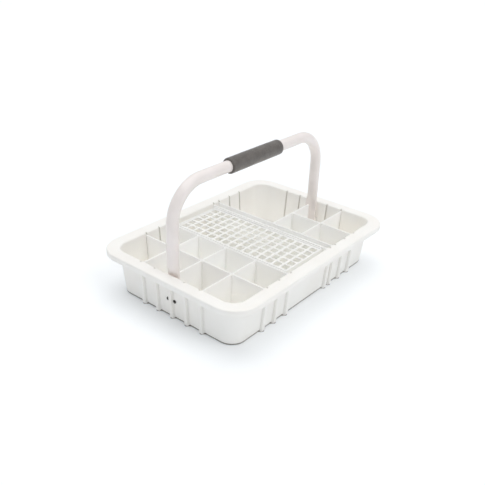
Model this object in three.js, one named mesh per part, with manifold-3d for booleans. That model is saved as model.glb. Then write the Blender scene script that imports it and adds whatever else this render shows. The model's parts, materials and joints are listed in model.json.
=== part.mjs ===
// Cleaning caddy: a moulded tub with lift-out dividers and a perforated insert,
// carried by a bent tube handle with a foam grip. Millimetres, +Z up.
// X runs along the tub and the handle, Y across them. The origin is the centre of the tub's underside.
import * as THREE from "three";
import { mergeVertices } from "three/addons/utils/BufferGeometryUtils.js";
import Module from "manifold-3d";

const wasm = await Module();
wasm.setup();

// ---------- driving dimensions ----------

const FIT = 0.3; // gap between pieces that touch
const BAY = 66; // spacing of the dividers across the tub
const FLATNESS = 0.01; // faces flatter than this are merged
const NEAR_WALL = 100; // anything farther from the centre than this leans with the walls
const X = 0;
const Y = 1;

const tub = {
  height: 84,
  floor: 3,
  wall: 2.5,
  footHalfLength: 199.5,
  footHalfWidth: 131.5,
  draft: 6.3, // how far each wall leans out over the full height
  corner: 26,
  rimHalfLength: 226,
  rimHalfWidth: 160.2,
  rimCorner: 46,
  rimPlate: 3,
  lipDepth: 10.5,
  lipWall: 2.5,
};

const rib = { reach: 3.5, width: 8, slotWidth: 3.6, skin: 3 };

const divider = { thickness: 2.5, top: 80, lapGap: 0.6 };
const guide = { width: 1.8, reach: 2.2, play: 0.35 };

const partitionX = 67; // partitions either side of the middle bay
const channelX = 51; // second partition, which closes the narrow channel
const crossX = 130; // short cross dividers
const spareX = (partitionX + crossX) / 2; // grooves that hold nothing

const insert = {
  centreX: -8.6,
  halfX: 54,
  halfY: 126,
  pitch: 16.4,
  rows: 6,
  columns: 15,
  hole: 12.8,
  plate: 2.2,
  rimHeight: 1.5,
  skirtDepth: 12,
  wall: 2.5,
  leg: 14,
};

const handle = {
  legX: 197.6,
  radius: 10,
  wall: 1.5,
  bend: 63,
  barZ: 230.8,
  roundAbove: 99,
  flatBelow: 78,
  footZ: 22,
  footX: 195.4,
  footHalfThickness: 2.6,
  footHalfWidth: 12.5,
  sides: 14,
  bendSteps: 7,
};

const grip = { radius: 14, length: 136, corner: 3 };

const screw = { radius: 2, headRadius: 3.1, headHeight: 1.8, z: 35, spread: 7.5, tip: 1 };
const washer = { radius: 4.6, thickness: 1 };
const nut = { acrossFlats: 7, height: 4.2 };
const pad = { halfWidth: 14, bottom: 20, top: 50 };

const outside = (half, z) => half + (tub.draft * z) / tub.height;
const ribX = tub.footHalfLength + rib.reach;
const ribY = tub.footHalfWidth + rib.reach;
const slotX = ribX - rib.skin;
const slotY = ribY - rib.skin;
const dividerEndX = slotX - FIT;
const dividerEndY = slotY - FIT;
const dividerFoot = tub.floor + FIT;
const dividerMiddle = (dividerFoot + divider.top) / 2;
const padFaceX = handle.footX + handle.footHalfThickness + FIT;
const screwSeatX = outside(tub.footHalfLength, screw.z);
const washerX = handle.footX - handle.footHalfThickness - FIT - washer.thickness;
const nutX = washerX - FIT - nut.height;

// ---------- materials ----------

const plastic = () => new THREE.MeshStandardMaterial({ color: 0xf3f1ec, roughness: 0.42 });
const coatedTube = () => new THREE.MeshStandardMaterial({ color: 0xe4dfdb, roughness: 0.35 });
const foam = () => new THREE.MeshStandardMaterial({ color: 0x57524e, roughness: 0.95 });
const darkSteel = () =>
  new THREE.MeshStandardMaterial({ color: 0x33302e, roughness: 0.4, metalness: 0.8 });
const zincSteel = () =>
  new THREE.MeshStandardMaterial({ color: 0xb9bcbf, roughness: 0.35, metalness: 0.9 });

// ---------- solids ----------

// A closed three.js geometry as a manifold solid, ready to join or cut.
function solid(geometry) {
  const bare = geometry.clone();
  bare.deleteAttribute("normal");
  bare.deleteAttribute("uv");
  const merged = mergeVertices(bare, 1e-4);
  const mesh = new wasm.Mesh({
    numProp: 3,
    vertProperties: new Float32Array(merged.attributes.position.array),
    triVerts: new Uint32Array(merged.index.array),
  });
  return new wasm.Manifold(mesh);
}

// A manifold solid as a three.js geometry with flat faces.
function geometryOf(body) {
  const mesh = body.simplify(FLATNESS).getMesh();
  const geometry = new THREE.BufferGeometry();
  geometry.setAttribute("position", new THREE.BufferAttribute(mesh.vertProperties, 3));
  geometry.setIndex(new THREE.BufferAttribute(mesh.triVerts, 1));
  const faceted = geometry.toNonIndexed();
  faceted.computeVertexNormals();
  return faceted;
}

const joined = (bodies) => bodies.reduce((whole, body) => whole.add(body));
const without = (body, cuts) => cuts.reduce((rest, cut) => rest.subtract(cut), body);

// A box between two opposite corners.
function boxBetween(a, b) {
  const size = a.map((value, i) => Math.abs(value - b[i]));
  const geometry = new THREE.BoxGeometry(...size);
  geometry.translate(...a.map((value, i) => (value + b[i]) / 2));
  return geometry;
}

const block = (a, b) => solid(boxBetween(a, b));

// Leans a geometry's outer end with the tub's walls, along X or along Y.
function leanOut(geometry, axis) {
  const points = geometry.attributes.position;
  for (let i = 0; i < points.count; i++) {
    const at = points.getComponent(i, axis);
    if (Math.abs(at) > NEAR_WALL) {
      const lean = (tub.draft * points.getZ(i)) / tub.height;
      points.setComponent(i, axis, at + Math.sign(at) * lean);
    }
  }
  return geometry;
}

function roundedRectangle(halfX, halfY, radius) {
  const shape = new THREE.Shape();
  const turns = [0, 1, 2, 3].map((i) => (i * Math.PI) / 2);
  const centres = [
    [halfX - radius, halfY - radius],
    [radius - halfX, halfY - radius],
    [radius - halfX, radius - halfY],
    [halfX - radius, radius - halfY],
  ];
  turns.forEach((angle, i) => {
    shape.absarc(...centres[i], radius, angle, angle + Math.PI / 2, false);
  });
  return shape;
}

function slab(shape, bottom, top, curveSegments = 7) {
  const geometry = new THREE.ExtrudeGeometry(shape, {
    depth: top - bottom,
    bevelEnabled: false,
    curveSegments,
  });
  geometry.translate(0, 0, bottom);
  return geometry;
}

// A rounded rectangular block whose sides lean out by the tub's draft.
function draftedBlock(halfX, halfY, radius, bottom, top) {
  const geometry = slab(roundedRectangle(halfX, halfY, radius), bottom, top);
  const points = geometry.attributes.position;
  for (let i = 0; i < points.count; i++) {
    const lean = (tub.draft * points.getZ(i)) / tub.height;
    points.setX(i, points.getX(i) * (1 + lean / halfX));
    points.setY(i, points.getY(i) * (1 + lean / halfY));
  }
  return solid(geometry);
}

// A disc or tube along Z with square edges, sides facets round, from a closed half profile.
function turned(profile, facets) {
  const points = profile.map(([radius, z]) => new THREE.Vector2(radius, z));
  const geometry = new THREE.LatheGeometry(points, facets);
  geometry.rotateX(Math.PI / 2);
  return geometry;
}

const ring = (inner, outer, height, facets) =>
  turned([[inner, 0], [outer, 0], [outer, height], [inner, height], [inner, 0]], facets);

// A round bar along X, used to cut screw holes and spot faces.
function barAlongX(radius, fromX, toX, y, z) {
  const geometry = new THREE.CylinderGeometry(radius, radius, Math.abs(toX - fromX), 16);
  geometry.rotateZ(Math.PI / 2);
  geometry.translate((fromX + toX) / 2, y, z);
  return solid(geometry);
}

// ---------- tub ----------

// Places along the long walls and the end walls that have a rib outside and a groove inside.
const sideStations = [-crossX, -spareX, -partitionX, channelX, partitionX, spareX, crossX];
const endStations = [-1, -0.5, 0, 0.5, 1].map((step) => step * BAY);
const ends = [-1, 1];

// A square-edged block on a wall, centred on a station, from one depth to another.
function onSideWall(x, end, width, fromY, toY, bottom, top) {
  const low = [x - width / 2, end * fromY, bottom];
  return solid(leanOut(boxBetween(low, [x + width / 2, end * toY, top]), Y));
}

function onEndWall(y, end, width, fromX, toX, bottom, top) {
  const low = [end * fromX, y - width / 2, bottom];
  return solid(leanOut(boxBetween(low, [end * toX, y + width / 2, top]), X));
}

function wallRibs() {
  const top = tub.height - 1;
  const sides = sideStations.flatMap((x) =>
    ends.map((end) => onSideWall(x, end, rib.width, tub.footHalfWidth - 1, ribY, 0, top)));
  const short = endStations.flatMap((y) =>
    ends.map((end) => onEndWall(y, end, rib.width, tub.footHalfLength - 1, ribX, 0, top)));
  return [...sides, ...short];
}

// Upright slots inside the ribs, open at the top so that a divider slides down into them.
function dividerSlots() {
  const top = tub.height + 1;
  const innerX = tub.footHalfLength - tub.wall - 1;
  const innerY = tub.footHalfWidth - tub.wall - 1;
  const sides = sideStations.flatMap((x) =>
    ends.map((end) => onSideWall(x, end, rib.slotWidth, innerY, slotY, tub.floor, top)));
  const short = endStations
    .filter((y) => y !== 0)
    .flatMap((y) =>
      ends.map((end) => onEndWall(y, end, rib.slotWidth, innerX, slotX, tub.floor, top)));
  return [...sides, ...short];
}

// A wide flange with a lip turned down round its edge.
function rimFlange() {
  const plate = slab(roundedRectangle(tub.rimHalfLength, tub.rimHalfWidth, tub.rimCorner),
    tub.height - tub.lipDepth, tub.height, 9);
  const under = slab(
    roundedRectangle(
      tub.rimHalfLength - tub.lipWall,
      tub.rimHalfWidth - tub.lipWall,
      tub.rimCorner - tub.lipWall,
    ),
    tub.height - tub.lipDepth - 1,
    tub.height - tub.rimPlate,
    9,
  );
  return solid(plate).subtract(solid(under));
}

const screwPlaces = ends.flatMap((end) => ends.map((side) => ({ end, y: side * screw.spread })));

// Flat pads that the handle's feet are screwed against.
const handlePads = () =>
  ends.map((end) =>
    block([end * padFaceX, -pad.halfWidth, pad.bottom],
      [end * (tub.footHalfLength + 1), pad.halfWidth, pad.top]));

function screwHoles() {
  return screwPlaces.flatMap(({ end, y }) => {
    const inside = handle.footX;
    const clear = screwSeatX + rib.reach + 1;
    const hole = barAlongX(screw.radius + FIT, end * inside, end * clear, y, screw.z);
    const seat = barAlongX(screw.headRadius + FIT, end * screwSeatX, end * clear, y, screw.z);
    return [hole, seat];
  });
}

function tubBody() {
  const shell = draftedBlock(tub.footHalfLength, tub.footHalfWidth, tub.corner, 0, tub.height);
  const cavity = draftedBlock(
    tub.footHalfLength - tub.wall,
    tub.footHalfWidth - tub.wall,
    tub.corner - tub.wall,
    tub.floor,
    tub.height + 1,
  );
  const walls = joined([shell, rimFlange(), ...wallRibs()]);
  const hollow = without(walls, [cavity, ...dividerSlots()]);
  return without(joined([hollow, ...handlePads()]), screwHoles());
}

// ---------- dividers ----------

const half = divider.thickness / 2;
const lap = half + divider.lapGap / 2;

const plateAlongX = (fromX, toX, y) =>
  solid(leanOut(boxBetween([fromX, y - half, dividerFoot], [toX, y + half, divider.top]), X));
const plateAlongY = (x, fromY, toY) =>
  solid(leanOut(boxBetween([x - half, fromY, dividerFoot], [x + half, toY, divider.top]), Y));

// Where the two guides either side of a station begin and end.
const guideSpans = (station) =>
  ends.map((end) => {
    const near = station + end * (half + guide.play);
    return [near, near + end * guide.width];
  });

// A pair of upright guides on a plate that runs along Y, holding the end of a divider at y.
const guidesOnY = (x, side, y) =>
  guideSpans(y).map(([near, far]) =>
    block([x, near, dividerFoot], [x + side * (half + guide.reach), far, divider.top]));

// The same pair on the centre line's plate, holding the end of a cross divider at x.
const guidesOnX = (x, side) =>
  guideSpans(x).map(([near, far]) =>
    block([near, 0, dividerFoot], [far, side * (half + guide.reach), divider.top]));

function partition(x, guideSide, guideStations) {
  const plate = plateAlongY(x, -dividerEndY, dividerEndY);
  return joined([plate, ...guideStations.flatMap((y) => guidesOnY(x, guideSide, y))]);
}

// A long divider beside the centre line: its lower half is notched over a cross divider.
function sideDivider(end, y) {
  const plate = plateAlongX(end * (partitionX + half + FIT), end * dividerEndX, y);
  const notch = block([end * crossX - lap, y - half - 1, dividerFoot - 1],
    [end * crossX + lap, y + half + 1, dividerMiddle + FIT]);
  return plate.subtract(notch);
}

// The divider on the centre line stops short of the handle's foot and carries guides.
function centreDivider(end, guideSides) {
  const clearOfHandle = handle.legX - handle.radius - 1;
  const low = [end * (partitionX + half + FIT), -half, dividerFoot];
  const plate = block(low, [end * clearOfHandle, half, divider.top]);
  return joined([plate, ...guideSides.flatMap((side) => guidesOnX(end * crossX, side))]);
}

// A short cross divider from the centre line to a long wall, notched from above.
function crossDivider(end, side) {
  const plate = plateAlongY(end * crossX, side * (half + FIT), side * dividerEndY);
  const notch = block([end * crossX - half - 1, side * BAY - lap, dividerMiddle],
    [end * crossX + half + 1, side * BAY + lap, divider.top + 1]);
  return plate.subtract(notch);
}

// ---------- perforated insert ----------

// The perforated plate.
function insertPlate(halfX, halfY) {
  const top = divider.top - insert.rimHeight;
  const bottom = top - insert.plate;
  const reach = insert.hole / 2;
  const centres = (count) =>
    Array.from({ length: count }, (_, i) => (i - (count - 1) / 2) * insert.pitch);
  const holes = centres(insert.rows).flatMap((x) =>
    centres(insert.columns).map((y) =>
      block([x - reach, y - reach, bottom - 1], [x + reach, y + reach, top + 1])));
  return without(block([-halfX, -halfY, bottom], [halfX, halfY, top]), holes);
}

// A rectangular frame, wall thick, between two heights.
function frame(halfX, halfY, wall, bottom, top) {
  const outer = block([-halfX, -halfY, bottom], [halfX, halfY, top]);
  const inner = block([wall - halfX, wall - halfY, bottom - 1], [halfX - wall, halfY - wall, top + 1]);
  return outer.subtract(inner);
}

// Four angle-shaped legs that stand on the tub's floor.
function insertLegs(halfX, halfY, top) {
  const upright = frame(halfX, halfY, insert.wall, dividerFoot, top);
  const acrossX = block([insert.leg - halfX, -halfY - 1, 0], [halfX - insert.leg, halfY + 1, top + 1]);
  const acrossY = block([-halfX - 1, insert.leg - halfY, 0], [halfX + 1, halfY - insert.leg, top + 1]);
  return upright.subtract(acrossX).subtract(acrossY);
}

function insertBody() {
  const { halfX, halfY, wall, skirtDepth } = insert;
  const skirtFoot = divider.top - skirtDepth;
  const whole = joined([
    insertPlate(halfX - 1, halfY - 1),
    frame(halfX, halfY, wall, skirtFoot, divider.top),
    insertLegs(halfX, halfY, skirtFoot + 1),
  ]);
  return whole.translate([insert.centreX, 0, 0]);
}

// ---------- handle ----------

// The handle's centre line: a station at each end of a straight and several round each bend.
class HandleLine extends THREE.Curve {
  constructor() {
    super();
    const { legX, bend, barZ, roundAbove, bendSteps } = handle;
    this.stations = [{ x: -legX, z: roundAbove, heading: Math.PI / 2 }];
    for (const side of ends) {
      for (let i = 0; i <= bendSteps; i++) {
        const share = i / bendSteps;
        const angle = (Math.PI / 2) * (side < 0 ? 2 - share : 1 - share);
        this.stations.push({
          x: side * (legX - bend) + bend * Math.cos(angle),
          z: barZ - bend + bend * Math.sin(angle),
          heading: angle - Math.PI / 2,
        });
      }
    }
    this.stations.push({ x: legX, z: roundAbove, heading: -Math.PI / 2 });
  }

  station(share) {
    return this.stations[Math.round(share * (this.stations.length - 1))];
  }

  getPointAt(share) {
    const { x, z } = this.station(share);
    return new THREE.Vector3(x, 0, z);
  }

  getTangentAt(share) {
    const { heading } = this.station(share);
    return new THREE.Vector3(Math.cos(heading), 0, Math.sin(heading));
  }
}

function roundTube(radius) {
  const section = new THREE.Shape();
  const step = (2 * Math.PI) / handle.sides;
  for (let i = 0; i < handle.sides; i++) {
    const point = [radius * Math.cos(i * step), radius * Math.sin(i * step)];
    if (i === 0) {
      section.moveTo(...point);
    } else {
      section.lineTo(...point);
    }
  }
  section.closePath();
  const line = new HandleLine();
  const steps = line.stations.length - 1;
  return solid(new THREE.ExtrudeGeometry(section, { steps, extrudePath: line }));
}

// The end of the tube, pressed from round to flat as it runs down inside the end wall.
function pressedEnd(end, radius, halfThickness, halfWidth, bottom) {
  const top = handle.roundAbove + 1;
  const geometry = new THREE.CylinderGeometry(radius, radius, top - bottom, handle.sides, 7);
  geometry.rotateX(Math.PI / 2);
  geometry.rotateZ(Math.PI / 2);
  geometry.translate(0, 0, (top + bottom) / 2);
  const points = geometry.attributes.position;
  const flatShare = (z) => 1 - THREE.MathUtils.smoothstep(z, handle.flatBelow, handle.roundAbove);
  for (let i = 0; i < points.count; i++) {
    const x = points.getX(i) / radius;
    const y = points.getY(i) / radius;
    const share = flatShare(points.getZ(i));
    const flatX = Math.sign(x) * Math.pow(Math.abs(x), 0.4) * halfThickness;
    const centreX = THREE.MathUtils.lerp(handle.legX, handle.footX, share);
    points.setX(i, end * centreX + THREE.MathUtils.lerp(x * radius, flatX, share));
    points.setY(i, THREE.MathUtils.lerp(y * radius, y * halfWidth, share));
  }
  return solid(geometry);
}

function handleBody() {
  const bore = handle.radius - handle.wall;
  const outer = joined([
    roundTube(handle.radius),
    ...ends.map((end) =>
      pressedEnd(end, handle.radius, handle.footHalfThickness, handle.footHalfWidth, handle.footZ)),
  ]);
  const inner = joined([
    roundTube(bore),
    ...ends.map((end) =>
      pressedEnd(
        end,
        bore,
        handle.footHalfThickness - handle.wall,
        handle.footHalfWidth - handle.wall,
        handle.footZ - 1,
      )),
  ]);
  const inside = handle.footX - 2 * handle.footHalfThickness;
  const clear = handle.footX + 2 * handle.footHalfThickness;
  const holes = screwPlaces.map(({ end, y }) =>
    barAlongX(screw.radius + FIT, end * inside, end * clear, y, screw.z));
  return without(outer, [inner, ...holes]);
}

// ---------- grip ----------

function gripGeometry() {
  const inner = handle.radius + FIT;
  const reach = grip.length / 2;
  const { radius, corner } = grip;
  const bevel = corner * (1 - Math.SQRT1_2);
  const profile = [
    [inner, -reach],
    [radius - corner, -reach],
    [radius - bevel, -reach + bevel],
    [radius, -reach + corner],
    [radius, reach - corner],
    [radius - bevel, reach - bevel],
    [radius - corner, reach],
    [inner, reach],
    [inner, -reach],
  ];
  const geometry = turned(profile, 22);
  geometry.rotateY(Math.PI / 2);
  return geometry;
}

// ---------- fasteners, each made pointing along +X with its seat at x = 0 ----------

const shankLength = screwSeatX + FIT - nutX + screw.tip;

function screwGeometry() {
  const { radius, headRadius, headHeight } = screw;
  const profile = [
    [0, -shankLength],
    [radius, -shankLength],
    [radius, 0],
    [headRadius, 0],
    [headRadius, headHeight * 0.35],
    [headRadius * 0.72, headHeight * 0.85],
    [0, headHeight],
  ];
  return turned(profile, 12).rotateY(Math.PI / 2);
}

const washerGeometry = () =>
  ring(screw.radius + FIT, washer.radius, washer.thickness, 14).rotateY(Math.PI / 2);

function nutGeometry() {
  const radius = nut.acrossFlats / Math.sqrt(3);
  const hexagon = new THREE.CylinderGeometry(radius, radius, nut.height, 6);
  hexagon.rotateX(Math.PI / 2);
  hexagon.translate(0, 0, nut.height / 2);
  const bore = new THREE.CylinderGeometry(screw.radius + FIT, screw.radius + FIT, nut.height + 2, 12);
  bore.rotateX(Math.PI / 2);
  bore.translate(0, 0, nut.height / 2);
  return geometryOf(solid(hexagon).subtract(solid(bore))).rotateY(Math.PI / 2);
}

// ---------- assembly ----------

const caddy = new THREE.Group();

function place(parent, name, geometry, material) {
  const mesh = new THREE.Mesh(geometry, material);
  mesh.name = name;
  parent.add(mesh);
  return mesh;
}

function addDividers() {
  const dividers = new THREE.Group();
  caddy.add(dividers);
  const add = (name, body) => place(dividers, name, geometryOf(body), plastic());
  add("left_partition", partition(-partitionX, -1, [-BAY, 0, BAY]));
  add("channel_partition", partition(channelX, 1, []));
  add("right_partition", partition(partitionX, 1, [-BAY, 0]));
  add("left_back_divider", sideDivider(-1, BAY));
  add("left_centre_divider", centreDivider(-1, [-1, 1]));
  add("left_front_divider", sideDivider(-1, -BAY));
  add("right_centre_divider", centreDivider(1, [-1]));
  add("right_front_divider", sideDivider(1, -BAY));
  add("left_back_cross_divider", crossDivider(-1, 1));
  add("left_front_cross_divider", crossDivider(-1, -1));
  add("right_cross_divider", crossDivider(1, -1));
}

// One screw, washer and nut at each hole; the group is turned so that +X points out of the tub.
function addFasteners() {
  const label = (end, y) => `${end < 0 ? "left" : "right"}_${y > 0 ? "back" : "front"}`;
  for (const { end, y } of screwPlaces) {
    const set = new THREE.Group();
    set.position.set(0, y, screw.z);
    set.rotation.z = end < 0 ? Math.PI : 0;
    caddy.add(set);
    const where = label(end, y);
    place(set, `screw_${where}`, screwGeometry(), darkSteel()).position.x = screwSeatX + FIT;
    place(set, `washer_${where}`, washerGeometry(), zincSteel()).position.x = washerX;
    place(set, `nut_${where}`, nutGeometry(), zincSteel()).position.x = nutX;
  }
}

place(caddy, "tub", geometryOf(tubBody()), plastic());
addDividers();
place(caddy, "perforated_insert", geometryOf(insertBody()), plastic());
place(caddy, "handle_tube", geometryOf(handleBody()), coatedTube());
place(caddy, "foam_grip", gripGeometry(), foam()).position.z = handle.barZ;
addFasteners();

export default caddy;
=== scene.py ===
"""Cleaning caddy: the finished look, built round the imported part. Metres, +Z up."""

import json
import math

import bmesh
import bpy
import numpy as np
from mathutils import Matrix, Vector


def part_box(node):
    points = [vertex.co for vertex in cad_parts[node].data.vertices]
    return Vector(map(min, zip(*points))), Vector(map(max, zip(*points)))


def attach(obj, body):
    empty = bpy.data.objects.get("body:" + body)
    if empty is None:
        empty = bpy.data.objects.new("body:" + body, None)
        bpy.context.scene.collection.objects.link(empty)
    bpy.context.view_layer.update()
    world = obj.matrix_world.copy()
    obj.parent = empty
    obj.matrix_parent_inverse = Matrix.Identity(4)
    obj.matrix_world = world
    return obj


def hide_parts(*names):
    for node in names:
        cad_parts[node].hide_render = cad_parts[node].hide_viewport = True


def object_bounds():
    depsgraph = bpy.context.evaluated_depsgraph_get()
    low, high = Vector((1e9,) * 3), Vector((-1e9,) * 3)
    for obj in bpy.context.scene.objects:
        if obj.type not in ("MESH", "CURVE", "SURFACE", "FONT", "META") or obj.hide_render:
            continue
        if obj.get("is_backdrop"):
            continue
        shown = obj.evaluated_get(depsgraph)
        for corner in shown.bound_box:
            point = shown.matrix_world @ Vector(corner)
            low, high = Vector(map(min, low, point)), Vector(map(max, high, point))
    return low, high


MM = 0.001

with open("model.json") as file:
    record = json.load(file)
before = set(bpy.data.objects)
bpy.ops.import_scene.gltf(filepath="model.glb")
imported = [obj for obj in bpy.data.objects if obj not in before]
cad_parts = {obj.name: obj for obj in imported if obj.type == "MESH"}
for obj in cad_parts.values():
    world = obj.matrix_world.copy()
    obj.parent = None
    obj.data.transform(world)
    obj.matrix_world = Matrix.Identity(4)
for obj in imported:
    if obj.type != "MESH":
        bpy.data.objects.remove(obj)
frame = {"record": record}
cad_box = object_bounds()
record = frame["record"]
BODY = {n: b for b, members in record["behaviour"]["bodies"].items() for n in members}
SLOT = {s["node"]: s["material_slot"] for s in record["subparts"]}


# ---------- camera ----------

CAMERA_AT = (-0.8169, -0.6339, 0.6055)
AZIMUTH, ELEVATION, ROLL = (math.radians(a) for a in (51.407, 27.681, 2.237))
SENSOR_WIDTH, LENS = 36, 47.28


def make_camera():
    data = bpy.data.cameras.new("main_camera")
    data.sensor_width = SENSOR_WIDTH
    data.lens = LENS
    data.clip_start, data.clip_end = 0.05, 30
    camera = bpy.data.objects.new("main_camera", data)
    bpy.context.scene.collection.objects.link(camera)
    ahead = Vector(
        (
            math.sin(AZIMUTH) * math.cos(ELEVATION),
            math.cos(AZIMUTH) * math.cos(ELEVATION),
            -math.sin(ELEVATION),
        )
    )
    level = Vector((math.cos(AZIMUTH), -math.sin(AZIMUTH), 0))
    up = level.cross(ahead)
    right = level * math.cos(ROLL) + up * math.sin(ROLL)
    top = up * math.cos(ROLL) - level * math.sin(ROLL)
    camera.matrix_world = Matrix.Translation(CAMERA_AT) @ Matrix(
        (right, top, -ahead)
    ).transposed().to_4x4()
    bpy.context.scene.camera = camera


make_camera()


# ---------- materials ----------


class Shader:
    """A Principled material, with short calls for the nodes that feed it."""

    def __init__(self, name, **uniform):
        self.material = bpy.data.materials.new(name)
        self.material.use_nodes = True
        self.tree = self.material.node_tree
        self.surface = self.tree.nodes["Principled BSDF"]
        for socket, value in uniform.items():
            self.surface.inputs[socket.replace("_", " ")].default_value = value
        self.place = self.node("ShaderNodeTexCoord").outputs["Object"]

    def node(self, kind, **settings):
        made = self.tree.nodes.new(kind)
        for key, value in settings.items():
            setattr(made, key, value)
        return made

    def feed(self, made, socket, value):
        target = made.inputs[socket]
        if isinstance(value, bpy.types.NodeSocket):
            self.tree.links.new(value, target)
        else:
            target.default_value = value

    def noise(self, scale, detail=4.0, roughness=0.55, stretch=None):
        """Noise from about 0.3 to 0.7; scale is in features per metre."""
        place = self.place
        if stretch is not None:
            mapping = self.node("ShaderNodeMapping")
            mapping.inputs["Scale"].default_value = stretch
            self.feed(mapping, "Vector", place)
            place = mapping.outputs["Vector"]
        made = self.node("ShaderNodeTexNoise")
        self.feed(made, "Vector", place)
        self.feed(made, "Scale", scale)
        self.feed(made, "Detail", detail)
        self.feed(made, "Roughness", roughness)
        return made.outputs["Fac"]

    def cells(self, scale):
        """Distance from the nearest of scattered points, for pores and pits."""
        made = self.node("ShaderNodeTexVoronoi")
        self.feed(made, "Vector", self.place)
        self.feed(made, "Scale", scale)
        return made.outputs["Distance"]

    def spread(self, value, low, high, to_low, to_high):
        made = self.node("ShaderNodeMapRange", interpolation_type="SMOOTHSTEP")
        for socket, number in (
            ("Value", value),
            ("From Min", low),
            ("From Max", high),
            ("To Min", to_low),
            ("To Max", to_high),
        ):
            self.feed(made, socket, number)
        return made.outputs["Result"]

    def mix(self, factor, first, second):
        made = self.node("ShaderNodeMix", data_type="RGBA")
        self.feed(made, "Factor", factor)
        self.feed(made, "A", first)
        self.feed(made, "B", second)
        return made.outputs["Result"]

    def combine(self, first, second, operation="ADD"):
        made = self.node("ShaderNodeMath", operation=operation)
        self.tree.links.new(first, made.inputs[0])
        if isinstance(second, bpy.types.NodeSocket):
            self.tree.links.new(second, made.inputs[1])
        else:
            made.inputs[1].default_value = second
        return made.outputs[0]

    def edges(self, low=0.53, high=0.6):
        """Zero on flat faces, one on outward edges."""
        worn = self.node("ShaderNodeNewGeometry").outputs["Pointiness"]
        return self.spread(worn, low, high, 0.0, 1.0)

    def openness(self, reach, only_local=True):
        """One in the open, less in creases and corners up to reach deep."""
        made = self.node("ShaderNodeAmbientOcclusion", only_local=only_local, samples=8)
        self.feed(made, "Distance", reach)
        return made.outputs["AO"]

    def painted_backlight_glow(self, strength):
        """Painted glow on the inner face of the tub's far end wall only, standing in for daylight through
        the thin wall.
        """
        where = self.node("ShaderNodeSeparateXYZ")
        self.feed(where, "Vector", self.place)
        facing = self.node("ShaderNodeSeparateXYZ")
        self.feed(facing, "Vector", self.node("ShaderNodeNewGeometry").outputs["True Normal"])
        inward = self.spread(facing.outputs["X"], -0.9, -0.2, 1.0, 0.0)
        far = self.spread(where.outputs["X"], 0.17, 0.195, 0.0, strength)
        return self.combine(inward, far, "MULTIPLY")

    def colour(self, value):
        self.feed(self.surface, "Base Color", value)

    def roughness(self, value):
        self.feed(self.surface, "Roughness", value)

    def bump(self, layers):
        """Layers of (height socket, distance in metres, strength)."""
        normal = None
        for height, distance, strength in layers:
            made = self.node("ShaderNodeBump")
            self.feed(made, "Height", height)
            self.feed(made, "Distance", distance)
            self.feed(made, "Strength", strength)
            if normal is not None:
                self.feed(made, "Normal", normal)
            normal = made.outputs["Normal"]
        self.feed(self.surface, "Normal", normal)


def linear(red, green, blue):
    """A colour picked as 0-255 screen values."""

    def one(value):
        value /= 255
        return value / 12.92 if value <= 0.04045 else ((value + 0.055) / 1.055) ** 2.4

    return (one(red), one(green), one(blue), 1.0)


def moulded_plastic(
    name, main, shade, grain=1.0, depth=(0.0, 0.01), glow=0.0, creases=0.0, backlit=0.0
):
    """Off-white polypropylene: faint mottling, satin grain, slow waviness and a few scuffs.

    Depth is the weight and scale of the light scattered inside, glow a faint painted glow over the
    whole part, creases the strength of painted shade darkening the creases and corners, and
    backlit the strength of a painted glow on the inner face of the far end wall, standing in for
    light through it.
    """
    shader = Shader(
        name,
        Specular_IOR_Level=0.42,
        Subsurface_Weight=depth[0],
        Subsurface_Radius=(1.0, 0.98, 0.95),
        Subsurface_Scale=depth[1],
        Emission_Color=(1.0, 0.99, 0.97, 1),
        Emission_Strength=glow,
    )
    mottling = shader.spread(shader.noise(14, 3), 0.35, 0.65, 0.0, 1.0)
    scuffs = shader.spread(shader.noise(260, 5, 0.7, (1, 1, 0.08)), 0.66, 0.74, 0.0, 0.5)
    base = shader.mix(mottling, main, shade)
    base = shader.mix(scuffs, base, [c * 0.93 for c in shade[:3]] + [1.0])
    if creases > 0:
        # Painted shade: where the tub's own surfaces hem a point in, its colour is mixed toward a brown,
        # most in middling creases and less in the very deepest corners.
        clear = shader.openness(0.006)
        painted_crease_shade = shader.spread(clear, 0.45, 0.95, creases, 0.0)
        deepest_shade_fade = shader.spread(clear, 0.15, 0.5, 0.25, 1.0)
        base = shader.mix(shader.combine(painted_crease_shade, deepest_shade_fade, "MULTIPLY"), base, linear(150, 143, 134))
    # Painted light: emission on the far end wall's inner face, standing in for daylight through it.
    if backlit > 0:
        shader.feed(shader.surface, "Emission Strength", shader.painted_backlight_glow(backlit))
    shader.colour(base)
    satin = shader.spread(shader.noise(90, 4), 0.3, 0.7, 0.4, 0.55)
    shader.roughness(shader.combine(satin, shader.combine(scuffs, 0.15, "MULTIPLY")))
    shader.bump(
        [
            (shader.noise(16, 2), 0.0011, 0.35),
            (shader.noise(2400, 2), 0.00006, 0.55 * grain),
            (scuffs, 0.00004, 0.4),
        ]
    )
    return shader.material


def powder_coat(name):
    """Warm white coating on steel tube: fine orange peel, glossier than the plastic."""
    shader = Shader(name, Specular_IOR_Level=0.5, Coat_Weight=0.25, Coat_Roughness=0.22)
    clouds = shader.spread(shader.noise(22, 3), 0.35, 0.65, 0.0, 1.0)
    base = shader.mix(clouds, linear(246, 239, 237), linear(241, 234, 231))
    rubs = shader.spread(shader.noise(700, 5, 0.7), 0.68, 0.76, 0.0, 0.6)
    shader.colour(shader.mix(rubs, base, linear(196, 190, 186)))
    shader.roughness(shader.spread(shader.noise(130, 4), 0.3, 0.7, 0.3, 0.42))
    shader.bump([(shader.noise(650, 2), 0.00009, 0.4), (rubs, 0.00004, 0.3)])
    return shader.material


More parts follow.
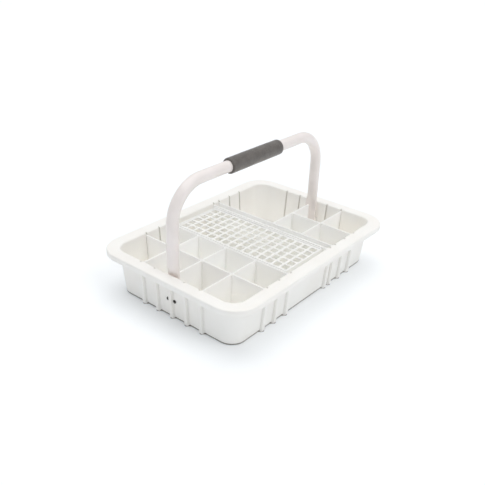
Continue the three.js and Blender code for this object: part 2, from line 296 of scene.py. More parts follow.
def foam(name):
    """Grey closed-cell foam: small open pores, dull, darker in the pores."""
    shader = Shader(
        name,
        Specular_IOR_Level=0.4,
        Sheen_Weight=0.35,
        Sheen_Roughness=0.4,
        Coat_Weight=0.65,
        Coat_Roughness=0.28,
    )
    pores = shader.spread(shader.cells(1500), 0.12, 0.42, 0.0, 1.0)
    patches = shader.spread(shader.noise(60, 4), 0.35, 0.65, 0.0, 1.0)
    skin = shader.mix(patches, linear(108, 103, 99), linear(98, 93, 89))
    shader.colour(shader.mix(pores, linear(44, 41, 39), skin))
    shader.roughness(shader.spread(patches, 0.0, 1.0, 0.86, 0.96))
    shader.bump(
        [
            (shader.noise(110, 3), 0.0006, 0.25),
            (pores, 0.0003, 0.55),
            (shader.noise(3200, 2), 0.0001, 0.35),
        ]
    )
    return shader.material


def dark_steel(name):
    """Blackened screw: brighter where the edges have worn."""
    shader = Shader(name, Metallic=0.75)
    patches = shader.spread(shader.noise(900, 4), 0.35, 0.65, 0.0, 1.0)
    base = shader.mix(patches, linear(62, 58, 56), linear(84, 80, 77))
    shader.colour(shader.mix(shader.edges(), base, linear(150, 147, 144)))
    shader.roughness(shader.spread(shader.noise(1500, 3), 0.3, 0.7, 0.32, 0.55))
    shader.bump([(shader.noise(3000, 3), 0.00004, 0.4)])
    return shader.material


def zinc_plate(name):
    """Bright zinc on the washers and nuts: cloudy, with fine turning marks."""
    shader = Shader(name, Metallic=1.0)
    clouds = shader.spread(shader.noise(500, 4), 0.35, 0.65, 0.0, 1.0)
    shader.colour(shader.mix(clouds, linear(205, 207, 210), linear(178, 178, 174)))
    shader.roughness(shader.spread(shader.noise(1200, 4), 0.3, 0.7, 0.25, 0.5))
    shader.bump([(shader.noise(2600, 3), 0.00004, 0.4)])
    return shader.material


def floor_paper():
    """Plain pale studio floor, with a painted contact shadow: darker and less self-lit within a few
    millimetres of what stands on it.
    """
    shader = Shader(
        "floor_paper",
        Specular_IOR_Level=0.1,
        Emission_Color=(1.0, 0.98, 0.98, 1),
    )
    base = shader.mix(
        shader.spread(shader.noise(6, 2), 0.35, 0.65, 0.0, 1.0),
        (0.9, 0.928, 0.953, 1),
        (0.892, 0.92, 0.948, 1),
    )
    # Painted contact shadow: the floor is mixed toward a dark brown, and its emission fades, where nearby
    # objects hem it in.
    clear = shader.spread(shader.openness(0.0035, False), 0.25, 0.8, 0.0, 1.0)
    shader.colour(shader.mix(clear, linear(150, 143, 136), base))
    shader.feed(shader.surface, "Emission Strength", shader.combine(clear, 0.1, "MULTIPLY"))
    shader.roughness(shader.spread(shader.noise(40, 2), 0.3, 0.7, 0.8, 0.9))
    shader.bump([(shader.noise(900, 2), 0.00005, 0.2)])
    return shader.material


MATERIALS = {
    # The tub's plastic carries painted shade in its creases and a painted glow inside its far end wall.
    "moulded_plastic": moulded_plastic(
        "moulded_plastic", linear(250, 249, 246), linear(248, 246, 242), creases=0.35, backlit=0.04
    ),
    # The divider and insert plastics carry a faint painted glow, their sixth argument (0.03 and 0.01).
    "divider_plastic": moulded_plastic(
        "divider_plastic", linear(250, 250, 249), linear(248, 248, 246), 0.7, (0.5, 0.005), 0.03
    ),
    "insert_plastic": moulded_plastic(
        "insert_plastic", linear(251, 251, 249), linear(249, 249, 247), 0.7, (0.3, 0.005), 0.01
    ),
    "coated_tube": powder_coat("coated_tube"),
    "grip_foam": foam("grip_foam"),
    "dark_screw": dark_steel("dark_screw"),
    "zinc_steel": zinc_plate("zinc_steel"),
}


# ---------- mesh helpers ----------


def finish_piece(mesh, node, smooth_below=32):
    """Makes the mesh the visible piece that stands for a CAD node."""
    mesh.validate()
    tidy = bmesh.new()
    tidy.from_mesh(mesh)
    bmesh.ops.recalc_face_normals(tidy, faces=tidy.faces)
    tidy.to_mesh(mesh)
    tidy.free()
    mesh.shade_smooth()
    mesh.set_sharp_from_angle(angle=math.radians(smooth_below))
    mesh.materials.append(MATERIALS[SLOT[node]])
    piece = bpy.data.objects.new(f"{node}_look", mesh)
    bpy.context.scene.collection.objects.link(piece)
    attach(piece, BODY[node])
    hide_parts(node)
    return piece


class Shape:
    """Points in millimetres and faces, gathered before they become one mesh."""

    def __init__(self):
        self.points = []
        self.faces = []

    def add(self, points, faces):
        start = len(self.points)
        self.points.extend(points)
        self.faces.extend([start + i for i in face] for face in faces)

    def loft(self, loops, cap_first=True, cap_last=True, closed=False):
        """Bridges loops that all have the same number of points."""
        count = len(loops[0])
        faces = []
        spans = len(loops) if closed else len(loops) - 1
        for i in range(spans):
            a, b = i * count, (i + 1) % len(loops) * count
            for j in range(count):
                k = (j + 1) % count
                faces.append([a + j, a + k, b + k, b + j])
        if cap_first and not closed:
            faces.append(list(range(count))[::-1])
        if cap_last and not closed:
            last = (len(loops) - 1) * count
            faces.append(list(range(last, last + count)))
        self.add([p for loop in loops for p in loop], faces)

    def mesh(self, name, weld=None):
        made = bpy.data.meshes.new(name)
        made.from_pydata([[v * MM for v in p] for p in self.points], [], self.faces)
        if weld:
            tidy = bmesh.new()
            tidy.from_mesh(made)
            bmesh.ops.remove_doubles(tidy, verts=tidy.verts, dist=weld * MM)
            tidy.to_mesh(made)
            tidy.free()
        return made


def slab(shape, outline, to_low, to_high, bevel, segments=2):
    """Adds an outline, extruded between two placings, with its square edges rounded over."""
    block = bmesh.new()
    low = [block.verts.new(to_low(*p)) for p in outline]
    high = [block.verts.new(to_high(*p)) for p in outline]
    block.faces.new(low[::-1])
    block.faces.new(high)
    for i in range(len(outline)):
        j = (i + 1) % len(outline)
        block.faces.new([low[i], low[j], high[j], high[i]])
    bmesh.ops.recalc_face_normals(block, faces=block.faces)
    square = [e for e in block.edges if e.calc_face_angle(0) > math.radians(25)]
    bmesh.ops.bevel(
        block,
        geom=square,
        offset=bevel,
        segments=segments,
        profile=0.5,
        affect="EDGES",
        clamp_overlap=True,
    )
    block.verts.index_update()
    shape.add([tuple(v.co) for v in block.verts], [[v.index for v in f.verts] for f in block.faces])
    block.free()


def box(shape, low, high, bevel):
    outline = [(low[0], low[1]), (high[0], low[1]), (high[0], high[1]), (low[0], high[1])]
    slab(shape, outline, lambda x, y: (x, y, low[2]), lambda x, y: (x, y, high[2]), bevel)


def arc(centre, radius, start, end, steps):
    """Points on an arc, ends included; angles in degrees."""
    angles = np.radians(np.linspace(start, end, steps + 1))
    return [(centre[0] + radius * math.cos(a), centre[1] + radius * math.sin(a)) for a in angles]


# ---------- sizes, in millimetres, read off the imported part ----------


def box_mm(node):
    low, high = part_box(node)
    return [v / MM for v in low], [v / MM for v in high]


RIM_X, RIM_Y, RIM_Z = box_mm("tub")[1]
DRAFT = 0.075  # how far a wall leans out for each millimetre of height
WALL_X, WALL_Y = 199.5, 131.5  # outside of the walls where they meet the ground
WALL, FLOOR = 2.5, 3.0
CORNER, RIM_CORNER = 26.0, 46.0
FLANGE, LIP_DEPTH, LIP_WALL = 3.0, 10.5, 2.5
RIDGE_WIDTH, RIDGE_DEPTH, FLARE = 6.4, 4.5, 1.3
UNDERCUT = 1.8  # the walls between the ridges clear the ground by this much
GROOVE_WIDTH, GROOVE_DEPTH = 3.6, 3.0
FOOT_ROUND, RIM_ROUND, MOUTH_ROUND, FLOOR_FILLET = 2.4, 2.4, 2.8, 1.4
WALL_HEIGHTS = (20, 40, 60)  # loops between the foot and the rim
PAD_HALF, PAD_BOTTOM, PAD_TOP, PAD_ROUND = 14, 20, 50, 0.7
PAD_FACE, PAD_BACK = 198.3, 201.0


def middle(node, axis):
    low, high = box_mm(node)
    return (low[axis] + high[axis]) / 2


BAY = middle("left_back_divider", 1)
CROSS_X = middle("right_cross_divider", 0)
CHANNEL_X = middle("channel_partition", 0)
THICK = 2.5  # of every divider
PARTITION_X = box_mm("right_partition")[0][0] + THICK / 2
SPARE_X = (PARTITION_X + CROSS_X) / 2
SIDE_STATIONS = (-CROSS_X, -SPARE_X, -PARTITION_X, CHANNEL_X, PARTITION_X, SPARE_X, CROSS_X)
END_STATIONS = (-BAY, -BAY / 2, 0.0, BAY / 2, BAY)


# ---------- tub ----------


def ridge_outline(width, depth, crest, root, flare=0.0, steps=4):
    """A ridge across its length, from one foot over the crest to the other: (along, out)."""
    out = arc((width / 2 - crest, depth - crest), crest, 90, 0, steps)
    foot = arc((width / 2 + flare + root, root), root, 180, 270, steps)
    half = [(0.0, depth), *out, *foot]
    return [(-a, d) for a, d in half[:0:-1]] + half


RIDGE = ridge_outline(RIDGE_WIDTH, RIDGE_DEPTH, 0.8, 0.5, FLARE)
GROOVE = ridge_outline(GROOVE_WIDTH, GROOVE_DEPTH, 0.4, 0.4)


def contour(half_x, half_y, corner, z, mode, lift=0.0):
    """One closed loop round the tub, with its ridges, its grooves or neither.

    The stretches between the ridges are raised by lift.
    """
    points = []
    walls = (
        (SIDE_STATIONS, half_y, lambda a, d: (a, -d), -90, (1, -1)),
        (END_STATIONS, half_x, lambda a, d: (d, a), 0, (1, 1)),
        ([-s for s in reversed(SIDE_STATIONS)], half_y, lambda a, d: (-a, d), 90, (-1, 1)),
        (END_STATIONS, half_x, lambda a, d: (-d, -a), 180, (-1, -1)),
    )
    for stations, half, place, angle, (side_x, side_y) in walls:
        for station in stations:
            plain = mode == "flat" or (mode == "groove" and station == 0)
            outline = GROOVE if mode == "groove" else RIDGE
            reach = outline[-1][0]
            for i, (along, out) in enumerate(outline):
                if plain:
                    along, out = reach * (2 * i / (len(outline) - 1) - 1), 0.0
                raised = z + (lift if out < RIDGE_DEPTH / 2 else 0)
                points.append((*place(station + along, half + out), raised))
        centre = (side_x * (half_x - corner), side_y * (half_y - corner))
        points.extend((*p, z + lift) for p in arc(centre, corner, angle, angle + 90, 12))
    return points


def wall_loop(z, inset=0.0, mode="ridge", lift=0.0):
    grow = DRAFT * z - inset
    return contour(WALL_X + grow, WALL_Y + grow, CORNER - inset, z, mode, lift)


def inner_loop(z, inset=0.0, mode="groove"):
    return wall_loop(z, WALL + inset, mode)


def rim_loop(z, inset):
    return contour(RIM_X - inset, RIM_Y - inset, RIM_CORNER - inset, z, "flat")


def outside_loops():
    """The underside, the foot and the outside of the walls, up to the flange."""
    loops = [wall_loop(UNDERCUT, inset, "flat") for inset in (30, 17)]
    for i, z in arc((0, 0), FOOT_ROUND, 0, 90, 4)[::-1]:
        loops.append(wall_loop(FOOT_ROUND - z, FOOT_ROUND - i, lift=UNDERCUT))
    return loops + [wall_loop(z) for z in (*WALL_HEIGHTS, RIM_Z - FLANGE)]


def rim_loops():
    """Out under the flange, round the turned-down lip and back over the top."""
    lip = LIP_WALL / 2
    under, lip_z = RIM_Z - FLANGE, RIM_Z - LIP_DEPTH
    loops = [rim_loop(under, 12), rim_loop(under, LIP_WALL + 1), rim_loop(under - 1, LIP_WALL)]
    loops += [rim_loop(lip_z + lip + z, lip - i) for i, z in arc((0, 0), lip, 180, 360, 6)]
    for i, z in arc((0, 0), RIM_ROUND, 0, 90, 5):
        loops.append(rim_loop(RIM_Z - RIM_ROUND + z, RIM_ROUND - i))
    return loops + [rim_loop(RIM_Z, 13)]


def inside_loops():
    """The rounded mouth, the inside of the walls and the floor."""
    loops = []
    for i, z in arc((0, 0), MOUTH_ROUND, 90, 180, 6):
        loops.append(inner_loop(RIM_Z - MOUTH_ROUND + z, -MOUTH_ROUND - i))
    loops += [inner_loop(z) for z in reversed(WALL_HEIGHTS)]
    for i, z in arc((0, 0), FLOOR_FILLET, 0, -90, 4):
        loops.append(inner_loop(FLOOR + FLOOR_FILLET + z, FLOOR_FILLET - i))
    return loops + [inner_loop(FLOOR, inset, "flat") for inset in (9, 20)]


def tub_shell():
    shape = Shape()
    shape.loft(outside_loops() + rim_loops() + inside_loops())
    add_pads(shape)
    finish_piece(shape.mesh("tub_look"), "tub", 28)


def add_pads(shape):
    """The flat pads inside the end walls, behind the handle's feet."""
    for end in (-1, 1):
        near, far = sorted((end * PAD_FACE, end * PAD_BACK))
        low, high = (near, -PAD_HALF, PAD_BOTTOM), (far, PAD_HALF, PAD_TOP)
        box(shape, low, high, PAD_ROUND)


# ---------- dividers ----------

FOOT, TOP = box_mm("channel_partition")[0][2], box_mm("channel_partition")[1][2]
LAP = 3.1  # width of the notches where dividers cross
MIDDLE = (FOOT + TOP) / 2
EASE = 0.4  # rounding of a divider's edges
GUIDE_REACH, GUIDE_WIDTH, GUIDE_PLAY, GUIDE_EASE = 2.2, 1.8, 0.35, 0.3


def plate_outline(left, right, left_leans, right_leans, notches=()):
    """A divider's outline, from (u, z) of its foot round; ends next to a wall lean with it."""
    drop = DRAFT * (TOP - FOOT)
    low_left = left + (drop if left_leans else 0)
    low_right = right - (drop if right_leans else 0)
    clip = 2.2
    points = [(low_left + clip, FOOT)]
    for at in (u for u, upward in notches if not upward):
        points += [(at - LAP / 2, FOOT), (at - LAP / 2, MIDDLE + 0.3)]
        points += [(at + LAP / 2, MIDDLE + 0.3), (at + LAP / 2, FOOT)]
    points += [(low_right - clip, FOOT), (low_right, FOOT + clip)]
    points += [(right - 0.08, TOP - 1.2), (right - 1.2, TOP)]
    for at in (u for u, upward in notches if upward):
        points += [(at + LAP / 2, TOP), (at + LAP / 2, MIDDLE)]
        points += [(at - LAP / 2, MIDDLE), (at - LAP / 2, TOP)]
    points += [(left + 1.2, TOP), (left + 0.08, TOP - 1.2), (low_left, FOOT + clip)]
    return points


def add_plate(shape, outline, axis, at):
    """Stands the outline up along X (axis 0) or along Y (axis 1)."""
    half = THICK / 2

    def place(offset):
        if axis == 0:
            return lambda u, z: (u, at + offset, z)
        return lambda u, z: (at + offset, u, z)

    slab(shape, outline, place(-half), place(half), EASE)


def add_guides(shape, axis, at, side, station):
    """A pair of upright guides, tapered at the top, on one face of a plate along the axis."""
    reach = GUIDE_REACH
    outline = [(0, FOOT), (reach, FOOT), (reach, TOP - 6), (0.7, TOP - 0.3), (0, TOP - 0.3)]
    face = at + side * THICK / 2
    for sign in (-1, 1):
        near = station + sign * (THICK / 2 + GUIDE_PLAY)
        far = near + sign * GUIDE_WIDTH

        def place(along):
            if axis == 0:
                return lambda out, z: (along, face + side * out, z)
            return lambda out, z: (face + side * out, along, z)

        slab(shape, outline, place(near), place(far), GUIDE_EASE)


def divider(node, axis, left_leans, right_leans, notches=(), guides=()):
    low, high = box_mm(node)
    at = PLATE_AT[node]
    shape = Shape()
    outline = plate_outline(low[axis], high[axis], left_leans, right_leans, notches)
    add_plate(shape, outline, axis, at)
    for side, station in guides:
        add_guides(shape, axis, at, side, station)
    finish_piece(shape.mesh(f"{node}_look"), node, 25)


PLATE_AT = {
    "left_partition": -PARTITION_X,
    "channel_partition": CHANNEL_X,
    "right_partition": PARTITION_X,
    "left_back_divider": BAY,
    "left_centre_divider": 0.0,
    "left_front_divider": -BAY,
    "right_centre_divider": 0.0,
    "right_front_divider": -BAY,
    "left_back_cross_divider": -CROSS_X,
    "left_front_cross_divider": -CROSS_X,
    "right_cross_divider": CROSS_X,
}


def dividers():
    divider("left_partition", 1, True, True, guides=[(-1, s) for s in (-BAY, 0, BAY)])
    divider("channel_partition", 1, True, True)
    divider("right_partition", 1, True, True, guides=[(1, s) for s in (-BAY, 0)])
    divider("left_back_divider", 0, True, False, [(-CROSS_X, False)])
    divider("left_front_divider", 0, True, False, [(-CROSS_X, False)])
    divider("right_front_divider", 0, False, True, [(CROSS_X, False)])
    divider("left_centre_divider", 0, False, False, guides=[(-1, -CROSS_X), (1, -CROSS_X)])
    divider("right_centre_divider", 0, False, False, guides=[(-1, CROSS_X)])
    divider("left_back_cross_divider", 1, False, True, [(BAY, True)])
    divider("left_front_cross_divider", 1, True, False, [(-BAY, True)])
    divider("right_cross_divider", 1, True, False, [(-BAY, True)])


# ---------- perforated insert ----------

PITCH, HOLE, HOLE_CORNER, HOLE_EASE = 16.4, 12.8, 1.5, 0.5
ROWS, COLUMNS = 6, 15
PLATE_DROP, PLATE_BOTTOM_DROP, SKIRT_DROP = 1.5, 3.7, 12  # below the edge's top
EDGE_WALL, EDGE_CORNER, EDGE_EASE = 2.5, 3.2, 0.8
LEG_ARM = 14


def rounded_square(half, corner, steps=3):
    points = []
    for side_x, side_y, angle in ((1, 1, 0), (-1, 1, 90), (-1, -1, 180), (1, -1, 270)):
        centre = (side_x * (half - corner), side_y * (half - corner))
        points.extend(arc(centre, corner, angle, angle + 90, steps))
    return points


def add_hole(shape, x, y, top, bottom):
    """One cell of the grid: a square of plate round a rounded hole, top, side and underside."""
    half, reach = HOLE / 2, PITCH / 2
    rings = []
    for angle in (math.radians(degrees) for degrees in (0, 30, 60, 90)):
        wider = HOLE_EASE * (1 - math.sin(angle))
        ring = rounded_square(half + wider, HOLE_CORNER + wider)
        rings.append((ring, top - HOLE_EASE * (1 - math.cos(angle))))
    rings.append((rounded_square(half, HOLE_CORNER), bottom))
    count = len(rings[0][0])
    points = [(x + px, y + py, z) for ring, z in rings for px, py in ring]
    faces = []
    for i in range(len(rings) - 1):
        for j in range(count):
            k = (j + 1) % count
            a, b = i * count, (i + 1) * count
            faces.append([a + j, a + k, b + k, b + j])
    quarter = count // 4
    for z, base in ((top, 0), (bottom, (len(rings) - 1) * count)):
        ring = rings[0][0] if base == 0 else rings[-1][0]
        edge = len(points)
        for corner, (cx, cy) in enumerate(((1, 1), (-1, 1), (-1, -1), (1, -1))):
            first, last = ring[corner * quarter], ring[corner * quarter + quarter - 1]
            before = (cx * reach, first[1]) if corner % 2 == 0 else (first[0], cy * reach)
            after = (last[0], cy * reach) if corner % 2 == 0 else (cx * reach, last[1])
            for px, py in (before, (cx * reach, cy * reach), after):
                points.append((x + px, y + py, z))
        for corner in range(4):
            a, b, c = (edge + 3 * corner + i for i in range(3))
            r = base + corner * quarter
            faces.append([a, b, r + 1, r])
            faces.append([b, r + 2, r + 1])
            faces.append([b, c, r + 3, r + 2])
            following = base + (corner + 1) % 4 * quarter
            faces.append([c, edge + 3 * ((corner + 1) % 4), following, r + 3])
    shape.add(points, faces)


def insert():
    low, high = box_mm("perforated_insert")
    centre_x = (low[0] + high[0]) / 2
    half_x, half_y, top = (high[0] - low[0]) / 2, high[1], high[2]
    plate_top, plate_bottom, skirt = top - PLATE_DROP, top - PLATE_BOTTOM_DROP, top - SKIRT_DROP
    shape = Shape()
    for row in range(ROWS):
        for column in range(COLUMNS):
            x = centre_x + (row - (ROWS - 1) / 2) * PITCH
            y = (column - (COLUMNS - 1) / 2) * PITCH
            add_hole(shape, x, y, plate_top, plate_bottom)
    grid_x, grid_y = ROWS * PITCH / 2, COLUMNS * PITCH / 2
    for z in (plate_top, plate_bottom):
        for side in (-1, 1):
            strip = (centre_x + side * grid_x, centre_x + side * (half_x - 1))
            shape.add([(x, y, z) for x in strip for y in (-grid_y, grid_y)], [[0, 1, 3, 2]])
            strip = (side * grid_y, side * (half_y - 1))
            reach = (centre_x - half_x + 1, centre_x + half_x - 1)
            shape.add([(x, y, z) for y in strip for x in reach], [[0, 1, 3, 2]])
    add_frame(shape, centre_x, half_x, half_y, skirt, top)
    add_legs(shape, centre_x, half_x, half_y, low[2], skirt + 1)
    finish_piece(shape.mesh("perforated_insert_look", 0.002), "perforated_insert", 30)


def add_frame(shape, centre_x, half_x, half_y, bottom, top):
    """The upstanding edge and skirt, one closed ring with rounded edges."""
    wall, ease = EDGE_WALL, EDGE_EASE
    section = [(0, bottom + 0.4), (0.4, bottom), (wall - 0.4, bottom), (wall, bottom + 0.4)]
    section += [(p, z) for p, z in arc((wall - ease, top - ease), ease, 0, 90, 3)]
    section += [(p, z) for p, z in arc((ease, top - ease), ease, 90, 180, 3)]
    loops = []
    for inset, z in section:
        ring = []
        for side_x, side_y, angle in ((1, 1, 0), (-1, 1, 90), (-1, -1, 180), (1, -1, 270)):
            corner = EDGE_CORNER - inset
            centre = (
                centre_x + side_x * (half_x - EDGE_CORNER),
                side_y * (half_y - EDGE_CORNER),
            )
            ring.extend((*p, z) for p in arc(centre, corner, angle, angle + 90, 5))
        loops.append(ring)
    shape.loft(loops, closed=True)


def add_legs(shape, centre_x, half_x, half_y, bottom, top):
    """Angle-shaped corner legs."""
    arm, wall = LEG_ARM, EDGE_WALL
    outline = [(0.8, 0), (arm, 0), (arm, wall), (wall, wall), (wall, arm), (0, arm), (0, 0.8)]
    for side_x in (-1, 1):
        for side_y in (-1, 1):

            def place(z):
                return lambda u, v: (
                    centre_x + side_x * (half_x - u),
                    side_y * (half_y - v),
                    z,
                )

            slab(shape, outline, place(bottom), place(top), 0.35)


# ---------- handle ----------

LEG_X, TUBE, BEND = 197.6, 10.0, 63.0
BAR_Z = 230.8
ROUND_ABOVE, FLAT_BELOW, FOOT_Z = 99.0, 78.0, 22.0
FOOT_X, FOOT_HALF, FOOT_WIDE = 195.4, 2.6, 12.3
BORE = 1.5  # thickness of the tube's wall
BORE_STATIONS = 9  # how far up each open end the bore is modelled
FOOT_CORNER = 5.0


def handle_stations():
    """(x, z, heading, flatness) down the centre line, from the left foot to the right one."""
    left = [(-LEG_X, z, 90.0) for z in np.linspace(FOOT_Z, FOOT_Z + 6, 7)]
    left += [(-LEG_X, z, 90.0) for z in np.linspace(34, FLAT_BELOW, 5)]
    left += [(-LEG_X, z, 90.0) for z in np.linspace(FLAT_BELOW, ROUND_ABOVE, 14)[1:]]
    left += [(-LEG_X, z, 90.0) for z in np.linspace(ROUND_ABOVE, BAR_Z - BEND, 4)[1:]]
    for angle in np.linspace(180, 90, 19)[1:]:
        x = -(LEG_X - BEND) + BEND * math.cos(math.radians(angle))
        z = BAR_Z - BEND + BEND * math.sin(math.radians(angle))
        left.append((x, z, angle - 90))
    right = [(-x, z, -heading) for x, z, heading in reversed(left)]
    return left + right


def flatness(z):
    share = min(max((z - FLAT_BELOW) / (ROUND_ABOVE - FLAT_BELOW), 0), 1)
    return 1 - share * share * (3 - 2 * share)


def tube_section(x, z, heading, radius, half, wide, sides=48):
    """A loop across the tube: round above the shoulder, pressed to a flat oval below it."""
    share = flatness(z) if abs(heading) == 90 else 0.0
    side = -1 if x < 0 else 1
    along = x + side * (FOOT_X - LEG_X) * share
    tilt = math.radians(heading)
    nip = FOOT_CORNER - min(z - FOOT_Z, FOOT_CORNER)
    narrow = FOOT_CORNER - math.sqrt(max(FOOT_CORNER**2 - nip**2, 0))
    points = []
    for i in range(sides):
        angle = 2 * math.pi * i / sides
        c, s = math.cos(angle), math.sin(angle)
        flat = math.copysign(abs(c) ** 0.35, c) * half
        out = (1 - share) * c * radius + share * flat
        wide_here = s * (wide - narrow * share)
        y = (1 - share) * s * radius + share * wide_here
        points.append((along - out * math.sin(tilt), y, z + out * math.cos(tilt)))
    return points


def handle():
    shape = Shape()
    stations = handle_stations()
    sizes = (TUBE, FOOT_HALF, FOOT_WIDE)
    bore_sizes = [size - BORE for size in sizes]
    outer = [tube_section(*s, *sizes) for s in stations]
    inner = [tube_section(*s, *bore_sizes) for s in stations[:BORE_STATIONS]]
    mirrored = [[(-x, y, z) for x, y, z in loop] for loop in inner]
    last = [[(x, y, z) for x, y, z in loop[:1] + loop[:0:-1]] for loop in mirrored]
    count = len(outer[0])
    aligned = [loop[count // 2 :] + loop[: count // 2] for loop in last]
    loops = inner[::-1] + outer + aligned
    shape.loft(loops)
    finish_piece(shape.mesh("handle_tube_look"), "handle_tube", 40)


# ---------- grip ----------


GRIP_GAP, GRIP_CORNER, DENT = 0.3, 3.0, 0.12


def grip():
    low, high = box_mm("foam_grip")
    half, radius = high[0], (high[2] - low[2]) / 2
    axis_z = (high[2] + low[2]) / 2
    inner, corner = TUBE + GRIP_GAP, GRIP_CORNER
    profile = [(-half, inner), (-half, radius - corner)]
    profile += arc((-half + corner, radius - corner), corner, 180, 90, 6)[1:]
    profile += [(x, radius) for x in np.linspace(-half + corner, half - corner, 60)[1:-1]]
    profile += arc((half - corner, radius - corner), corner, 90, 0, 6)
    profile += [(half, inner)]
    sides = 72
    rng = np.random.default_rng(7)
    waves = [(rng.uniform(0.03, 0.12), rng.uniform(0, 6.3), rng.integers(1, 4)) for _ in range(6)]
    loops = []
    for x, r in profile:
        loop = []
        for i in range(sides):
            angle = 2 * math.pi * i / sides
            dent = sum(math.sin(x * w + p + n * angle) for w, p, n in waves) / len(waves)
            here = r - DENT * (1 + dent) if r > inner else r
            loop.append((x, here * math.cos(angle), axis_z + here * math.sin(angle)))
        loops.append(loop)
    shape = Shape()
    shape.loft(loops, closed=True)
    piece = finish_piece(shape.mesh("foam_grip_look"), "foam_grip", 50)


# ---------- fasteners ----------


FASTENER_SIDES, FASTENER_BORE, NUT_SIDES = 40, 2.3, 48
HEAD_HEIGHT, HEAD_LIP = 1.8, 0.6
THREAD_PITCH, THREAD_ROOT, THREAD_CREST, SHANK = 0.8, 1.72, 1.98, 1.95


def turned(shape, profile, sides, place, closed=False):
    """A profile of (along, radius) turned round X, then put in place; closed makes a ring."""
    loops = []
    for along, radius in profile:
        loops.append(
            [
                place(
                    along,
                    radius * math.cos(2 * math.pi * i / sides),
                    radius * math.sin(2 * math.pi * i / sides),
                )
                for i in range(sides)
            ]
        )
    shape.loft(loops, closed=closed)


def fastener_place(node, outward):
    """Placing for a piece whose along-axis points out of the tub from its inner face."""
    low, high = box_mm(node)
    y, z = (low[1] + high[1]) / 2, (low[2] + high[2]) / 2
    start = low[0] if outward > 0 else high[0]
    return lambda a, b, c: (start + outward * a, y + b, z + c), high[0] - low[0]


def screw(node, outward):
    place, length = fastener_place(node, outward)
    low, high = box_mm(node)
    head, lip = HEAD_HEIGHT, HEAD_LIP
    radius, seat = (high[2] - low[2]) / 2, length - head
    thread = []
    turns = int((seat - 3.0) / THREAD_PITCH)
    for i in range(turns):
        root, crest = 0.6 + i * THREAD_PITCH, 0.6 + (i + 0.5) * THREAD_PITCH
        thread += [(root, THREAD_ROOT), (crest, THREAD_CREST)]
    profile = [(0, 0.01), (0, 1.5), *thread]
    profile += [(seat - 1.5, SHANK), (seat, SHANK), (seat, radius - 0.3)]
    profile += [(seat + 0.2, radius), (seat + lip, radius)]
    for angle in range(15, 76, 15):
        a = math.radians(angle)
        profile.append((seat + lip + (head - lip) * math.sin(a), radius * math.cos(a) ** 0.7))
    profile += [(length, 1.6), (length, 1.3), (length - 1.2, 0.5), (length - 1.3, 0.01)]
    shape = Shape()
    turned(shape, profile, FASTENER_SIDES, place)
    finish_piece(shape.mesh(f"{node}_look"), node, 35)


def washer(node, outward):
    place, length = fastener_place(node, outward)
    low, high = box_mm(node)
    radius, bore = (high[2] - low[2]) / 2, FASTENER_BORE
    profile = [(0, bore), (0, radius - 0.2), (0.2, radius), (length - 0.2, radius)]
    profile += [(length, radius - 0.2), (length, bore)]
    shape = Shape()
    turned(shape, profile, FASTENER_SIDES, place, closed=True)
    finish_piece(shape.mesh(f"{node}_look"), node, 35)


def nut(node, outward):
    """Hexagon nut with its corners turned off on both faces."""
    place, length = fastener_place(node, outward)
    low, high = box_mm(node)
    flats = min(high[1] - low[1], high[2] - low[2]) / 2
    bore, sides = FASTENER_BORE, NUT_SIDES
    corner = flats / math.cos(math.pi / 6)

    def hexagon(angle):
        turn = (angle + math.pi / 2) % (math.pi / 3) - math.pi / 6
        return flats / math.cos(turn)

    loops = []
    for a, limit in (
        (0.3, None),
        (0, 3.2),
        (0, flats * 0.95),
        (0.5, corner),
        (length - 0.5, corner),
        (length, flats * 0.95),
        (length, 3.2),
        (length - 0.3, None),
    ):
        loop = []
        for i in range(sides):
            angle = 2 * math.pi * i / sides
            r = bore if limit is None else min(hexagon(angle), limit)
            loop.append(place(a, r * math.cos(angle), r * math.sin(angle)))
        loops.append(loop)
    shape = Shape()
    shape.loft(loops, closed=True)
    finish_piece(shape.mesh(f"{node}_look"), node, 30)


def fasteners():
    for side, outward in (("left", -1), ("right", 1)):
        for place in ("front", "back"):
            screw(f"screw_{side}_{place}", outward)
            washer(f"washer_{side}_{place}", outward)
            nut(f"nut_{side}_{place}", outward)


# ---------- studio ----------


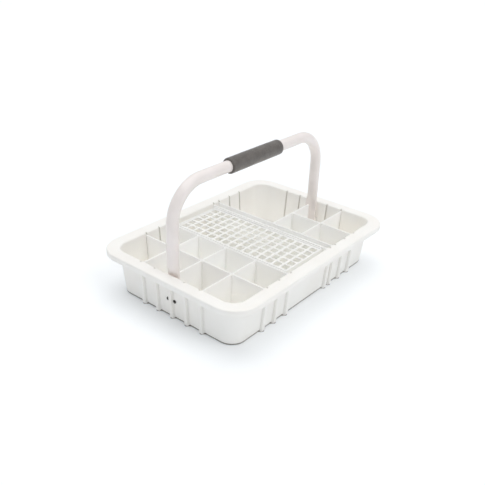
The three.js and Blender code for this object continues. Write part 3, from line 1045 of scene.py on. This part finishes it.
FLOOR_REACH = 6.0  # metres
AIR, AIR_TINT = 0.49, (0.968, 0.98, 0.99, 1)
BOUNCES = 24  # pale cells need many
LIGHTS = (  # name, (azimuth, elevation) it shines from, strength, spread, tint
    ("key_light", (-80, 50), 0.66, 40, (1.0, 0.988, 0.972)),
    ("side_light", (185, 62), 0.06, 50, (1.0, 0.99, 0.98)),
    ("top_light", (56, 74), 1.25, 60, (1.0, 0.993, 0.985)),
)


def sun(name, azimuth, elevation, strength, spread, tint):
    light = bpy.data.lights.new(name, "SUN")
    light.energy = strength
    light.angle = math.radians(spread)
    light.color = tint
    lamp = bpy.data.objects.new(name, light)
    lamp.location = (0, 0, 2)
    lamp.rotation_mode = "QUATERNION"
    azimuth, elevation = math.radians(azimuth), math.radians(elevation)
    ahead = Vector(
        (
            -math.cos(elevation) * math.cos(azimuth),
            -math.cos(elevation) * math.sin(azimuth),
            -math.sin(elevation),
        )
    )
    lamp.rotation_quaternion = ahead.to_track_quat("-Z", "Y")
    bpy.context.scene.collection.objects.link(lamp)


def studio():
    floor_mesh = bpy.data.meshes.new("studio_floor")
    reach = FLOOR_REACH
    corners = [(-reach, -reach, 0), (reach, -reach, 0), (reach, reach, 0), (-reach, reach, 0)]
    floor_mesh.from_pydata(corners, [], [(0, 1, 2, 3)])
    floor = bpy.data.objects.new("studio_floor", floor_mesh)
    floor_mesh.materials.append(floor_paper())
    bpy.context.scene.collection.objects.link(floor)
    floor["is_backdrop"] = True

    world = bpy.data.worlds.new("studio_air")
    world.use_nodes = True
    background = world.node_tree.nodes["Background"]
    background.inputs["Color"].default_value = AIR_TINT
    background.inputs["Strength"].default_value = AIR
    bpy.context.scene.world = world

    for name, (azimuth, elevation), strength, spread, tint in LIGHTS:
        sun(name, azimuth, elevation, strength, spread, tint)
    bpy.context.scene.view_settings.view_transform = "Standard"
    bpy.context.scene.cycles.max_bounces = BOUNCES
    bpy.context.scene.cycles.diffuse_bounces = BOUNCES


tub_shell()
dividers()
insert()
handle()
grip()
fasteners()
studio()

{name: [list(corner) for corner in pair] for name, pair in (("cad", cad_box), ("visual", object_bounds()))}
